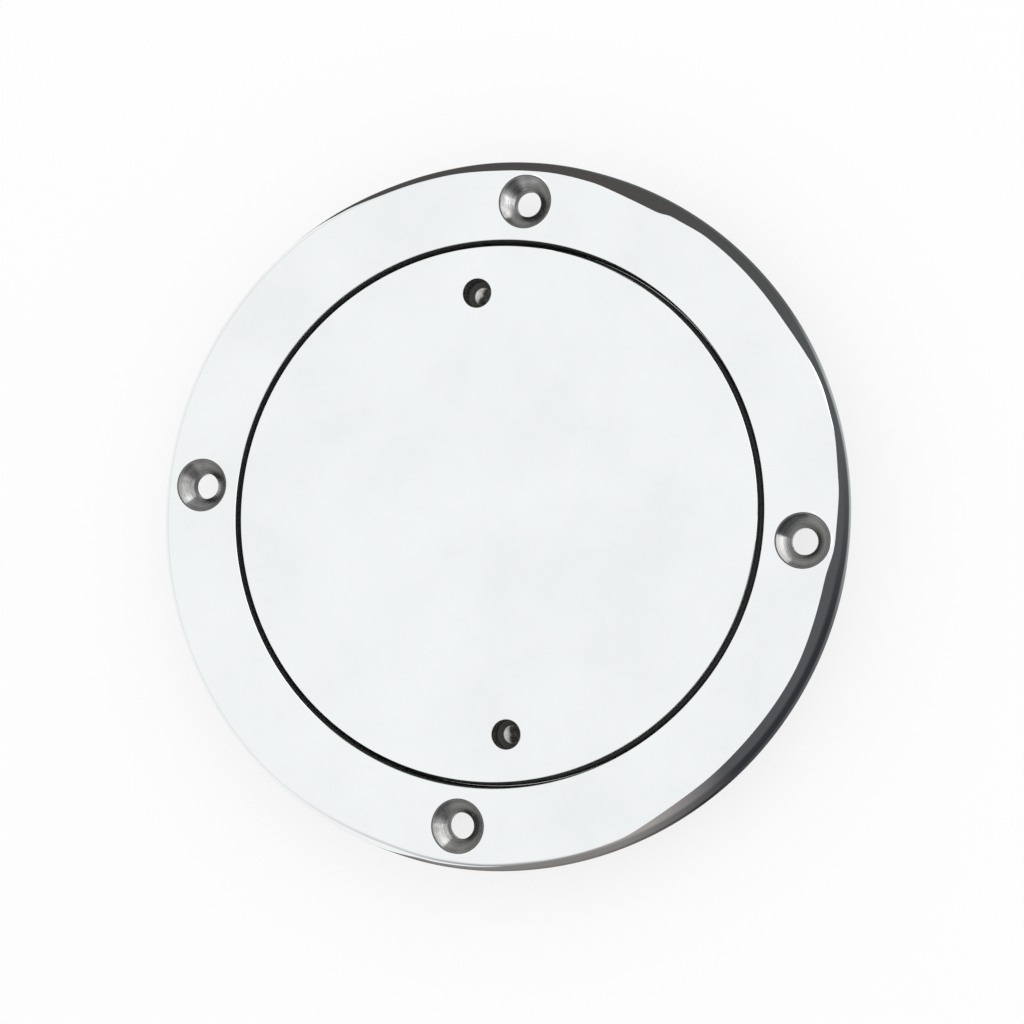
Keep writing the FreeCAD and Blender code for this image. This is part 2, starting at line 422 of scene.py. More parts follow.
def blast_grain() -> bpy.types.NodeTree:
    """The pebbled skin of a casting that was blasted with beads."""
    pit_depth = 0.5
    group = new_group(
        "blast_grain", {"Place": "NodeSocketVector"},
        {"Height": "NodeSocketFloat", "Tone": "NodeSocketFloat"},
    )
    graph = Graph(group)
    place = graph.node("NodeGroupInput").outputs["Place"]
    pits = graph.node("ShaderNodeTexVoronoi", {"Vector": place, "Scale": 2600.0}).outputs["Distance"]
    grain = graph.noise(place, scale=900.0, detail=5.0, rough=0.6)
    swell = graph.noise(place, scale=110.0, detail=3.0)
    height = graph.math("MULTIPLY_ADD", pits, pit_depth, graph.math("ADD", grain, swell))
    graph.node("NodeGroupOutput", {"Height": height, "Tone": graph.math("MULTIPLY", grain, swell)})
    return group


class Finish:
    """A material that is built from nodes around one Principled shader."""

    groups: dict[str, bpy.types.NodeTree] = {}

    @classmethod
    def shared(cls, maker: Callable[[], bpy.types.NodeTree]) -> bpy.types.NodeTree:
        """The node group that the maker gives, built once."""
        if maker.__name__ not in cls.groups:
            cls.groups[maker.__name__] = maker()
        return cls.groups[maker.__name__]

    @staticmethod
    def begin(name: str) -> tuple[bpy.types.Material, Graph]:
        """A new material with an empty tree."""
        material = bpy.data.materials.new(name)
        material.use_nodes = True
        return material, Graph(material.node_tree)

    @staticmethod
    def close(graph: Graph, sockets: Mapping[str, Any]) -> None:
        """Adds the Principled shader with these inputs, and the output."""
        shader = graph.node("ShaderNodeBsdfPrincipled", sockets)
        graph.node("ShaderNodeOutputMaterial", {"Surface": shader.outputs[0]})

    @staticmethod
    def place(graph: Graph) -> bpy.types.NodeSocket:
        """Where a point lies on the piece, in metres."""
        return graph.node("ShaderNodeTexCoord").outputs["Object"]

    @classmethod
    def group(
        cls, graph: Graph, maker: Callable[[], bpy.types.NodeTree], sockets: Mapping[str, Any]
    ) -> Mapping[str, bpy.types.NodeSocket]:
        """Places a shared group in a material, with its own values, and gives its outputs."""
        return graph.node("ShaderNodeGroup", sockets, node_tree=cls.shared(maker)).outputs


@dataclass(frozen=True)
class MirrorSteel(Finish):
    """Stainless steel buffed to a mirror."""

    bright: Colour = rgb(0.885, 0.905, 0.915)
    hazed: Colour = rgb(0.845, 0.865, 0.88)
    roughness: float = 0.02
    hairline_roughness: float = 0.09
    sway_depth: float = 0.004 * MM

    def build(self) -> bpy.types.Material:
        """The material."""
        material, graph = self.begin("mirror_steel")
        marks = self.group(graph, polish_marks, {"Place": self.place(graph)})
        haze = graph.span(marks["Haze"], low=0.35, high=0.75)
        rough = graph.span(marks["Hairlines"], 0.0, 1.0, self.roughness, self.hairline_roughness)
        self.close(graph, {
            "Base Color": graph.blend(haze, self.bright, self.hazed),
            "Metallic": 1.0,
            "Roughness": rough,
            "Normal": graph.bump(marks["Sway"], self.sway_depth, strength=0.5),
        })
        return material


@dataclass(frozen=True)
class TurnedSteel(Finish):
    """Steel with the fine rings of a turning tool about the plate's own axis."""

    name: str = "turned_steel"
    bright: Colour = rgb(0.60, 0.60, 0.59)
    dull: Colour = rgb(0.42, 0.42, 0.415)
    roughness: float = 0.24
    rings_per_metre: float = 5200.0
    ring_depth: float = 0.012 * MM

    def build(self) -> bpy.types.Material:
        """The material."""
        material, graph = self.begin(self.name)
        place = self.place(graph)
        flat = graph.vector("MULTIPLY", place, LEVEL)
        height = graph.vector("DOT_PRODUCT", place, tuple(UP), output="Value")
        distance = graph.math("ADD", graph.vector("LENGTH", flat, output="Value"), height)
        rings = self.group(graph, tool_rings, {"Distance": distance, "Rings": self.rings_per_metre})
        self.close(graph, {
            "Base Color": graph.blend(rings["Tone"], self.dull, self.bright),
            "Metallic": 1.0,
            "Roughness": self.roughness,
            "Normal": graph.bump(rings["Height"], self.ring_depth, strength=0.6),
        })
        return material


@dataclass(frozen=True)
class SunkSteel(Finish):
    """The drilled and countersunk holes: rings about each hole's own axis.

    Attributes:
        holes: The holes' centres, in metres.
        name: The material's name.
        unshaded_band: From which to which distance from a hole's axis no painted shade lies, in millimetres.
        unshaded_above: From which height on no painted shade lies, in millimetres.
        bright: Colour of the brightest rings.
        dull: Colour of the dullest rings.
        grime_and_painted_shade: Colour of the painted shade in the corners and deep in the holes, and of the
            small grime patches.
        fade: Width of the soft edge of the painted shade, in millimetres.
        patch_share: How far the small grime patches on the unshaded band are soiled.
        grime_and_shade_metal: What is left of the steel's metallic look under the painted shade and the
            grime.
        grime_and_shade_shine: Strength of the reflection of the painted shade and the grime.
    """

    holes: tuple[Vector, ...]
    name: str
    unshaded_band: Point
    unshaded_above: float
    bright: Colour
    dull: Colour
    # Painted shade in the corners and deep in the holes; the small grime patches take the same colour.
    grime_and_painted_shade: Colour
    fade: float = 0.3
    patch_share: float = 0.25
    grime_and_shade_metal: float = 0.2
    grime_and_shade_shine: float = 0.1
    roughness: float = 0.14
    rings_per_metre: float = 4200.0
    ring_depth: float = 0.012 * MM

    def build(self) -> bpy.types.Material:
        """The material, with painted shade beside the unshaded band and grime in small patches on it."""
        material, graph = self.begin(self.name)
        place = self.place(graph)
        flat = graph.vector("MULTIPLY", place, LEVEL)
        nearest: Any = 1.0
        for hole in self.holes:
            gap = graph.vector("DISTANCE", flat, tuple(hole), output="Value")
            nearest = graph.math("MINIMUM", nearest, gap)
        height = graph.vector("DOT_PRODUCT", place, tuple(UP), output="Value")
        distance = graph.math("ADD", nearest, height)
        rings = self.group(graph, tool_rings, {"Distance": distance, "Rings": self.rings_per_metre})
        ringed = graph.blend(graph.span(rings["Tone"], low=0.35, high=0.65), self.dull, self.bright)
        # Painted shade in the corners and deep down, and grime in small patches.
        grimed_and_shaded = self.grime_and_shade(graph, place, nearest, height)
        self.close(graph, {
            "Base Color": graph.blend(grimed_and_shaded, ringed, self.grime_and_painted_shade),
            "Metallic": graph.mix(grimed_and_shaded, 1.0, self.grime_and_shade_metal),
            "Roughness": self.roughness,
            "Specular IOR Level": self.grime_and_shade_shine,
            "Normal": graph.bump(rings["Height"], self.ring_depth, strength=0.7),
        })
        return material

    def grime_and_shade(self, graph: Graph, place: Any, nearest: Any, height: Any) -> bpy.types.NodeSocket:
        """How far a point is darkened, from 0 to 1: by painted shade in the corners and deep down, and by
        grime in small patches.

        Args:
            graph: The material's graph.
            place: Where the point lies.
            nearest: Its distance from the nearest hole's axis.
            height: Its height.

        Returns:
            The output that holds the share.
        """
        near, far = self.unshaded_band
        inside = graph.span(nearest, (near - self.fade) * MM, near * MM, to_low=1.0, to_high=0.0)
        outside = graph.span(nearest, far * MM, (far + self.fade) * MM)
        top = self.unshaded_above
        deep = graph.span(height, (top - self.fade) * MM, top * MM, to_low=1.0, to_high=0.0)
        # Painted shade: beside the unshaded band, and below the unshaded height.
        corners = graph.math("MULTIPLY", graph.math("MAXIMUM", inside, outside), deep)
        grain = self.group(graph, blast_grain, {"Place": place})
        patch = graph.span(grain["Tone"], low=0.24, high=0.36, to_high=self.patch_share)
        return graph.math("MAXIMUM", patch, corners)


@dataclass(frozen=True)
class CastSteel(Finish):
    """The blasted skin of the casting, left on the underside."""

    light: Colour = rgb(0.56, 0.56, 0.55)
    dark: Colour = rgb(0.36, 0.36, 0.355)
    roughness: float = 0.48
    grain_depth: float = 0.05 * MM

    def build(self) -> bpy.types.Material:
        """The material."""
        material, graph = self.begin("cast_steel")
        grain = self.group(graph, blast_grain, {"Place": self.place(graph)})
        self.close(graph, {
            "Base Color": graph.blend(grain["Tone"], self.dark, self.light),
            "Metallic": 1.0,
            "Roughness": self.roughness,
            "Normal": graph.bump(grain["Height"], self.grain_depth, strength=0.5),
        })
        return material


@dataclass(frozen=True)
class Rubber(Finish):
    """Black moulded rubber with a little dust in its skin."""

    black: Colour = rgb(0.03, 0.03, 0.032)
    dusty: Colour = rgb(0.08, 0.079, 0.078)
    roughness: float = 0.55
    skin_depth: float = 0.03 * MM

    def build(self) -> bpy.types.Material:
        """The material."""
        material, graph = self.begin("seal_rubber")
        grain = self.group(graph, blast_grain, {"Place": self.place(graph)})
        self.close(graph, {
            "Base Color": graph.blend(grain["Tone"], self.black, self.dusty),
            "Roughness": self.roughness,
            "Normal": graph.bump(grain["Height"], self.skin_depth, strength=0.4),
        })
        return material


@dataclass(frozen=True)
class Thread:
    """The right-hand thread that the ring and the lid share, in millimetres.

    Attributes:
        radius: Radius of the lid's crests.
        depth: Depth of the groove.
        pitch: Rise in one turn.
        crest: Height of a crest.
        slope: Rise of a flank for each millimetre of depth.
        gap: Running clearance between the two threads.
        over: How far a cutter reaches past the crests into the open.
    """

    radius: float = 52.5
    depth: float = 1.4
    pitch: float = 4.0
    crest: float = 1.0
    slope: float = math.tan(math.radians(30.0))
    gap: float = 0.25
    over: float = 0.42


@dataclass
class DeckRing:
    """The flange on the deck with its collar, the lid's seat and the thread in the bore.

    Sizes are in millimetres.

    Attributes:
        top_rings: How far in from the edge the top face has rings of points, which keep it flat.
        under_ring: The same for the underside.
        mouth: The bevel at a screw hole's mouth: out from the countersink's radius, up from the face.
        cut_over: How far a cutter reaches past the faces.
        round_widths: Azimuths in degrees, each with the buffed edge's width as a share of flange_round.
    """

    flange_radius: float = RING_RADIUS
    flange_height: float = RING_TOP
    flange_round: float = 3.0
    lower_round: float = 0.3
    lower_parts: int = 3
    top_rings: tuple[float, ...] = (4.8, 12.5, 15.5)
    under_ring: float = 6.0
    seat_radius: float = LID_RADIUS + 1.15
    seat_round: float = 0.5
    seat_corner: float = 0.3
    seat_floor: float = SEAL_BOTTOM
    collar_radius: float = COLLAR["r_mm"]
    collar_bottom: float = RING_BOTTOM
    collar_chamfer: float = 0.8
    collar_root: float = 0.3
    root_parts: int = 4
    bore_radius: float = Thread.radius - Thread.depth + Thread.gap
    lead_in: float = 1.6
    screw_circle: float = SCREWS["pcd_mm"] / 2
    hole_count: int = SCREWS["count"]
    hole_radius: float = SCREWS["hole_r_mm"]
    hole_steps: int = 96
    sink_radius: float = 2 * SCREWS["hole_r_mm"]
    mouth: tuple[Point, ...] = ((-0.12, -0.12), (0.02, -0.04), (0.35, 0.03))
    cut_over: float = 1.0
    round_parts: int = 18
    round_widths: tuple[Point, ...] = (
        (-180.0, 0.9), (-130.0, 0.9), (-103.0, 1.38), (-93.0, 1.13), (-87.0, 1.13), (-77.0, 1.38),
        (-6.0, 1.38), (-1.0, 1.13), (10.0, 1.13), (30.0, 1.38), (76.0, 1.38), (87.0, 1.13), (96.0, 1.13),
        (104.0, 1.25), (112.0, 1.25), (130.0, 0.9), (180.0, 0.9),
    )
    thread: Thread = Thread()
    steps: int = STEPS

    def outline(self) -> list[Stretch]:
        """The ring's section, from the collar's root by the rim and the top face to the root again."""
        top = self.flange_height
        edge = self.flange_radius
        start = edge - self.flange_round
        rim = arc((start, top - self.flange_round), self.flange_round, 0.0, 90.0, self.round_parts)
        lower = (edge - self.lower_round, self.lower_round)
        lip_centre = (self.seat_radius + self.seat_round, top - self.seat_round)
        lip = arc(lip_centre, self.seat_round, 90.0, 180.0, ROUND_PARTS)
        root = (self.collar_radius + self.collar_root, -self.collar_root)
        corner = (self.seat_radius - self.seat_corner, self.seat_floor)
        return [
            Stretch(Surface.CAST, scaled(
                *arc(root, self.collar_root, 180.0, 90.0, self.root_parts),
                (edge - self.under_ring, 0.0), (lower[0], 0.0),
            )),
            Stretch(Surface.MIRROR, scaled(
                (lower[0], 0.0), *arc(lower, self.lower_round, -90.0, 0.0, self.lower_parts), *rim,
                *((edge - inset, top) for inset in self.top_rings), *lip,
            )),
            Stretch(Surface.SHADED_GAP, scaled(
                lip[-1], (self.seat_radius, self.seat_floor + self.seat_corner), corner
            )),
            Stretch(Surface.TURNED, scaled(
                corner,
                (self.bore_radius + self.lead_in, self.seat_floor),
                (self.bore_radius, self.seat_floor - self.lead_in),
                (self.bore_radius, self.collar_bottom + self.lead_in),
                (self.bore_radius + self.lead_in, self.collar_bottom),
                (self.collar_radius - self.collar_chamfer, self.collar_bottom),
                (self.collar_radius, self.collar_bottom + self.collar_chamfer),
                (self.collar_radius, -self.collar_root),
            )),
        ]

    def hole_centres(self) -> list[Vector]:
        """The screw holes' centres, in metres."""
        angles = [math.tau * number / self.hole_count for number in range(self.hole_count)]
        return [Vector((math.cos(a), math.sin(a), 0.0)) * (self.screw_circle * MM) for a in angles]

    def build(self, finishes: Sequence[bpy.types.Material]) -> bpy.types.Object:
        """The ring with its thread and its countersunk holes."""
        blank = turn(self.outline(), self.steps)
        self.buff_edge(blank)
        ring = settle(blank, "polished_ring", finishes)
        for centre in self.hole_centres():
            combine(ring, self.sink(centre), "DIFFERENCE")
        combine(ring, self.groove(), "DIFFERENCE")
        smooth(ring)
        return ring

    def buff_edge(self, blank: bmesh.types.BMesh) -> None:
        """Makes the rounded outer edge wide and narrow by turns, as the buffing wheel left it."""
        corner = Vector((self.flange_radius, self.flange_height)) * MM
        band = self.flange_round * MM + WELD
        for vertex in blank.verts:
            place = vertex.co
            radius = place.xy.length
            if corner.x - radius > band or corner.y - place.z > band:
                continue
            wide = along(self.round_widths, math.degrees(math.atan2(place.y, place.x)))
            kept = (corner.x - (corner.x - radius) * wide) / radius
            vertex.co = Vector((place.x * kept, place.y * kept, corner.y - (corner.y - place.z) * wide))

    def groove(self) -> bmesh.types.BMesh:
        """The thread's groove in the bore, from below the collar to above the seat's floor."""
        thread = self.thread
        root = thread.crest / 2 + thread.gap - thread.gap * thread.slope
        mouth = thread.crest / 2 + thread.gap + (thread.depth - thread.gap + thread.over) * thread.slope
        start = self.collar_bottom - thread.pitch
        deep = thread.radius + thread.gap
        open_radius = self.bore_radius - thread.over
        section = (
            (open_radius, start - mouth), (deep, start - root),
            (deep, start + root), (open_radius, start + mouth),
        )
        turns = (self.seat_floor + thread.pitch - start) / thread.pitch
        return wind(scaled(*section), thread.pitch * MM, turns, self.steps)

    def sink(self, centre: Vector) -> bmesh.types.BMesh:
        """The shape that the drill and the countersink take out at one hole."""
        top = self.flange_height
        mouth = [(self.sink_radius + out, top + up) for out, up in self.mouth]
        return turn([Stretch(Surface.SUNK, scaled(
            (0.0, -self.cut_over), (self.hole_radius, -self.cut_over),
            (self.hole_radius, top - (self.sink_radius - self.hole_radius)),
            *mouth, (mouth[-1][0], top + self.cut_over), (0.0, top + self.cut_over),
        ))], self.hole_steps, centre)


@dataclass
class ScrewLid:
    """The flush disc with its rim and key holes, and the threaded skirt under it.

    Sizes are in millimetres.

    Attributes:
        top_rings: Radii where the top face has rings of points, which keep it flat.
        under: Height of the rim's and the disc's underside.
        key_angle: How far the key holes are turned from the Y axis, in degrees.
        key_point: The drill point's angle, in degrees.
        chisel: Radius of the small flat that the drill's chisel edge leaves.
        mouth: The bevel at a key hole's mouth: out from the hole's radius, up from the face.
        cut_over: How far a cutter reaches past the face.
        boss_sunk: How far a boss is sunk into the disc.
    """

    radius: float = LID_RADIUS
    top: float = LID_TOP
    top_rings: tuple[float, ...] = (30.0, 52.0)
    edge_round: float = 0.35
    under: float = SEAL_TOP
    rim_chamfer: float = 0.2
    thread_radius: float = Thread.radius
    root_radius: float = Thread.radius - Thread.depth
    neck_low: float = -0.2
    relief_radius: float = 51.0
    relief_low: float = -3.4
    skirt_bottom: float = LID_BOTTOM
    lead_in: float = 1.6
    skirt_inside: float = 47.6
    skirt_corner: float = 1.5
    skirt_chamfer: float = 0.3
    key_circle: float = KEYS["pcd_mm"] / 2
    key_angle: float = 10.3
    key_radius: float = KEYS["hole_r_mm"]
    key_depth: float = 4.2
    key_point: float = 118.0
    key_steps: int = 72
    chisel: float = 0.2
    mouth: tuple[Point, ...] = ((0.0, -0.14), (0.06, -0.03), (0.26, 0.03))
    cut_over: float = 1.0
    boss_radius: float = 5.0
    boss_height: float = 3.8
    boss_chamfer: float = 0.4
    boss_sunk: float = 0.8
    boss_steps: int = 64
    thread: Thread = Thread()
    steps: int = STEPS

    def outline(self) -> list[Stretch]:
        """The lid's section, from the middle of its top face round to the middle of its underside."""
        edge_centre = (self.radius - self.edge_round, self.top - self.edge_round)
        edge = arc(edge_centre, self.edge_round, 90.0, 0.0, ROUND_PARTS)
        rim = (self.radius - self.rim_chamfer, self.under)
        inside = (self.skirt_inside, self.skirt_bottom + self.skirt_chamfer)
        corner_centre = (self.skirt_inside - self.skirt_corner, self.under - self.skirt_corner)
        corner = arc(corner_centre, self.skirt_corner, 0.0, 90.0, ROUND_PARTS)
        return [
            Stretch(Surface.MIRROR, scaled(
                (0.0, self.top), *((radius, self.top) for radius in self.top_rings), *edge
            )),
            Stretch(Surface.SHADED_GAP, scaled(edge[-1], (self.radius, self.under + self.rim_chamfer), rim)),
            Stretch(Surface.TURNED, scaled(
                rim, (self.thread_radius, self.under), (self.thread_radius, self.neck_low),
                (self.relief_radius, self.neck_low), (self.relief_radius, self.relief_low),
                (self.thread_radius, self.relief_low), (self.thread_radius, self.skirt_bottom + self.lead_in),
                (self.thread_radius - self.lead_in, self.skirt_bottom),
                (self.skirt_inside + self.skirt_chamfer, self.skirt_bottom), inside,
            )),
            Stretch(Surface.CAST, scaled(inside, *corner, (0.0, self.under))),
        ]

    def key_centres(self) -> list[Vector]:
        """The two key holes' centres, in metres."""
        angle = math.radians(self.key_angle)
        first = Vector((-math.sin(angle), math.cos(angle), 0.0)) * (self.key_circle * MM)
        return [first, -first]

    def build(self, finishes: Sequence[bpy.types.Material]) -> bpy.types.Object:
        """The lid with its bosses and blind key holes."""
        lid = settle(turn(self.outline(), self.steps), "polished_lid", finishes)
        for centre in self.key_centres():
            combine(lid, self.boss(centre), "UNION")
            combine(lid, self.key_hole(centre), "DIFFERENCE")
        combine(lid, self.groove(), "DIFFERENCE")
        smooth(lid)
        return lid

    def groove(self) -> bmesh.types.BMesh:
        """The thread's groove in the skirt, from below the skirt to inside the relief above it."""
        thread = self.thread
        mouth = (thread.pitch - thread.crest) / 2
        root = mouth - thread.depth * thread.slope
        start = RING_BOTTOM - thread.pitch / 2
        outside = thread.radius + thread.over
        section = (
            (self.root_radius, start - root), (thread.radius, start - mouth), (outside, start - mouth),
            (outside, start + mouth), (thread.radius, start + mouth), (self.root_radius, start + root),
        )
        turns = ((self.relief_low + self.neck_low) / 2 - start) / thread.pitch
        return wind(scaled(*section), thread.pitch * MM, turns, self.steps)

    def boss(self, centre: Vector) -> bmesh.types.BMesh:
        """The boss under one key hole."""
        low = self.under - self.boss_height
        high = self.under + self.boss_sunk
        return turn([Stretch(Surface.CAST, scaled(
            (0.0, high), (self.boss_radius, high), (self.boss_radius, low + self.boss_chamfer),
            (self.boss_radius - self.boss_chamfer, low), (0.0, low),
        ))], self.boss_steps, centre)

    def key_hole(self, centre: Vector) -> bmesh.types.BMesh:
        """What the drill takes out at one key hole, with the small flat of the drill's chisel edge."""
        wall = self.top - self.key_depth
        tip = wall - (self.key_radius - self.chisel) / math.tan(math.radians(self.key_point / 2))
        mouth = [(self.key_radius + out, self.top + up) for out, up in self.mouth]
        return turn([Stretch(Surface.SUNK, scaled(
            (0.0, tip), (self.chisel, tip), (self.key_radius, wall), *mouth,
            (mouth[-1][0], self.top + self.cut_over), (0.0, self.top + self.cut_over),
        ))], self.key_steps, centre)


@dataclass
class LidSeal:
    """The rubber ring between the lid's rim and the ring's seat, in millimetres."""

    outer: float = SEAL_RADIUS
    width: float = 2.9
    low: float = SEAL_BOTTOM
    high: float = SEAL_TOP
    corner: float = 0.7
    corner_parts: int = 5
    mould_line: float = 0.06
    steps: int = 256

    def rounded(self, centre: Point, start: float) -> tuple[Point, ...]:
        """The quarter arc of one corner, from this angle on."""
        return arc(centre, self.corner, start, start + 90.0, self.corner_parts)

    def build(self, rubber: bpy.types.Material) -> bpy.types.Object:
        """The seal, with rounded corners and the fine line of its mould round the inside.

        Args:
            rubber: Its one finish, which takes the first material slot.

        Returns:
            The seal.
        """
        inner = self.outer - self.width
        near, far = inner + self.corner, self.outer - self.corner
        bottom, top = self.low + self.corner, self.high - self.corner
        middle = (self.low + self.high) / 2
        points = (
            *self.rounded((far, bottom), -90.0), *self.rounded((far, top), 0.0),
            *self.rounded((near, top), 90.0), (inner, middle + self.mould_line),
            (inner - self.mould_line, middle), (inner, middle - self.mould_line),
            *self.rounded((near, bottom), 180.0),
        )
        shape = turn([Stretch(Surface.MIRROR, scaled(*points, points[0]))], self.steps)
        seal = settle(shape, "rubber_seal", [rubber])
        smooth(seal)
        return seal


@dataclass
class DarkCard:
    """A dark card that stands close round the plate's right side and shows only in the steel.

    Its upper edge sets where the dark of the buffed rim begins: low at the front, high at the
    front right, low again beside the right screw hole, and middling at the back. At both ends it
    runs out to the foot. The card's upper part goes from sand through slate to umber, its waist is
    darker, and its foot is pale beside the right screw hole.

    Attributes:
        upper: The upper edge, as azimuth in degrees and height in millimetres.
        upper_tones: Tones below the upper edge, by azimuth in degrees.
        waist_tones: Tones at the plate's own height.
        foot_tones: Tones below the plate.
        foot_to_waist: Heights between which the foot's tones change to the waist's.
        waist_to_upper: Heights between which the waist's tones change to the upper ones.
    """

    radius: float = RING_RADIUS + 2.0
    foot: float = RING_BOTTOM + 0.1
    upper: tuple[Point, ...] = (
        (-122.0, -12.8), (-110.0, -6.0), (-96.0, 2.4), (-64.0, 5.0), (-48.0, 15.5), (-38.0, 18.0),
        (-22.0, 14.0), (-7.0, 24.0), (1.0, 13.0), (10.0, 8.0), (20.0, 4.5), (26.0, 3.6), (41.0, 8.0),
        (58.0, 7.8), (65.0, 10.6), (71.0, 20.5), (80.0, 8.8), (96.0, 8.2), (105.0, 5.4), (116.0, 4.7),
        (124.0, 3.2), (132.0, 0.5), (144.0, -12.8),
    )
    upper_tones: Tones = (
        (-57.0, rgb(0.40, 0.37, 0.355)), (-42.0, rgb(0.095, 0.097, 0.105)), (12.0, rgb(0.10, 0.104, 0.11)),
        (48.0, rgb(0.088, 0.09, 0.088)), (78.0, rgb(0.087, 0.078, 0.073)), (110.0, rgb(0.08, 0.079, 0.075)),
    )
    waist_tones: Tones = (
        (-62.0, rgb(0.25, 0.235, 0.23)), (-40.0, rgb(0.036, 0.037, 0.041)), (-12.0, rgb(0.036, 0.037, 0.04)),
        (16.0, rgb(0.105, 0.11, 0.115)), (50.0, rgb(0.085, 0.087, 0.085)), (90.0, rgb(0.08, 0.076, 0.072)),
    )
    foot_tones: Tones = (
        (-68.0, rgb(0.21, 0.19, 0.18)), (-47.0, rgb(0.025, 0.025, 0.027)), (-38.0, rgb(0.07, 0.073, 0.078)),
        (-12.0, rgb(0.14, 0.145, 0.15)), (4.0, rgb(0.44, 0.46, 0.46)), (27.0, rgb(0.46, 0.48, 0.47)),
        (39.0, rgb(0.13, 0.135, 0.135)),
    )
    foot_to_waist: Point = (-0.8, 1.2)
    waist_to_upper: Point = (3.0, 5.4)
    steps: int = 360

    @staticmethod
    def ramp(graph: Graph, share: bpy.types.NodeSocket, tones: Tones) -> bpy.types.NodeSocket:
        """The tones round the plate, blended from one azimuth to the next."""
        ramp = graph.node("ShaderNodeValToRGB", {0: share})
        stops = ramp.color_ramp.elements
        for number, (degrees, tone) in enumerate(tones):
            stop = stops[number] if number < len(stops) else stops.new(1.0)
            stop.position = degrees / 360.0 + 0.5
            stop.color = tone
        return ramp.outputs[0]

    def material(self) -> bpy.types.Material:
        """The tones that the card glows with, which the steel shows as painted reflection; they change round
        the plate and from its foot to its upper edge.
        """
        material, graph = Finish.begin("dark_card")
        place = graph.node("ShaderNodeSeparateXYZ", {0: Finish.place(graph)}).outputs
        azimuth = graph.math("ARCTAN2", place["Y"], place["X"])
        share = graph.math("ADD", graph.math("DIVIDE", azimuth, math.tau), 0.5)
        colour = self.ramp(graph, share, self.foot_tones)
        changes = ((self.waist_tones, self.foot_to_waist), (self.upper_tones, self.waist_to_upper))
        for tones, (low, high) in changes:
            rise = graph.span(place["Z"], low * MM, high * MM)
            colour = graph.blend(rise, colour, self.ramp(graph, share, tones))
        glow = graph.node("ShaderNodeEmission", {"Color": colour})
        graph.node("ShaderNodeOutputMaterial", {"Surface": glow.outputs[0]})
        return material

    def build(self) -> bpy.types.Object:
        """The card, which only reflections see."""
        shape = bmesh.new()
        first, last = self.upper[0][0], self.upper[-1][0]
        for vertex in unit_sheet(shape, columns=self.steps, rows=2):
            azimuth = first + (last - first) * vertex.co.x
            height = self.foot + (along(self.upper, azimuth) - self.foot) * vertex.co.y
            vertex.co = round_about(azimuth, self.radius, height)
        card = settle(shape, "dark_card", [self.material()])
        hide_from_light(card)
        return card


@dataclass
class GlintCard:
    """A small bright card on the flange beside a screw hole, which lights one side of its countersink.

    It is an arc about the hole's own axis and glows towards the hole alone, so that nothing of it
    shows in the flat face or in the rim. Its sizes are in millimetres, and first and last are the
    azimuths of its ends in degrees.
    """

    radius: float = 5.9
    low: float = RING_TOP + 0.05
    high: float = RING_TOP + 4.0
    first: float = -5.0
    last: float = 80.0
    glow: float = 2.1
    steps: int = 48

    def material(self) -> bpy.types.Material:
        """White light on the side of the hole, and nothing on the other side."""
        material, graph = Finish.begin("glint_card")
        side = graph.node("ShaderNodeNewGeometry").outputs["Backfacing"]
        clear = graph.node("ShaderNodeBsdfTransparent")
        glow = graph.node("ShaderNodeEmission", {"Color": WHITE, "Strength": self.glow})
        both = graph.node("ShaderNodeMixShader", {0: side, 1: clear.outputs[0], 2: glow.outputs[0]})
        graph.node("ShaderNodeOutputMaterial", {"Surface": both.outputs[0]})
        return material

    def build(self, centres: Iterable[Vector]) -> bpy.types.Object:
        """The cards beside these holes, as one object that only reflections see."""
        shape = bmesh.new()
        for centre in centres:
            for vertex in unit_sheet(shape, columns=self.steps, rows=1):
                azimuth = self.first + (self.last - self.first) * vertex.co.x
                height = self.low + (self.high - self.low) * vertex.co.y
                vertex.co = centre + round_about(azimuth, self.radius, height)
        card = settle(shape, "glint_card", [self.material()])
        hide_from_light(card)
        return card


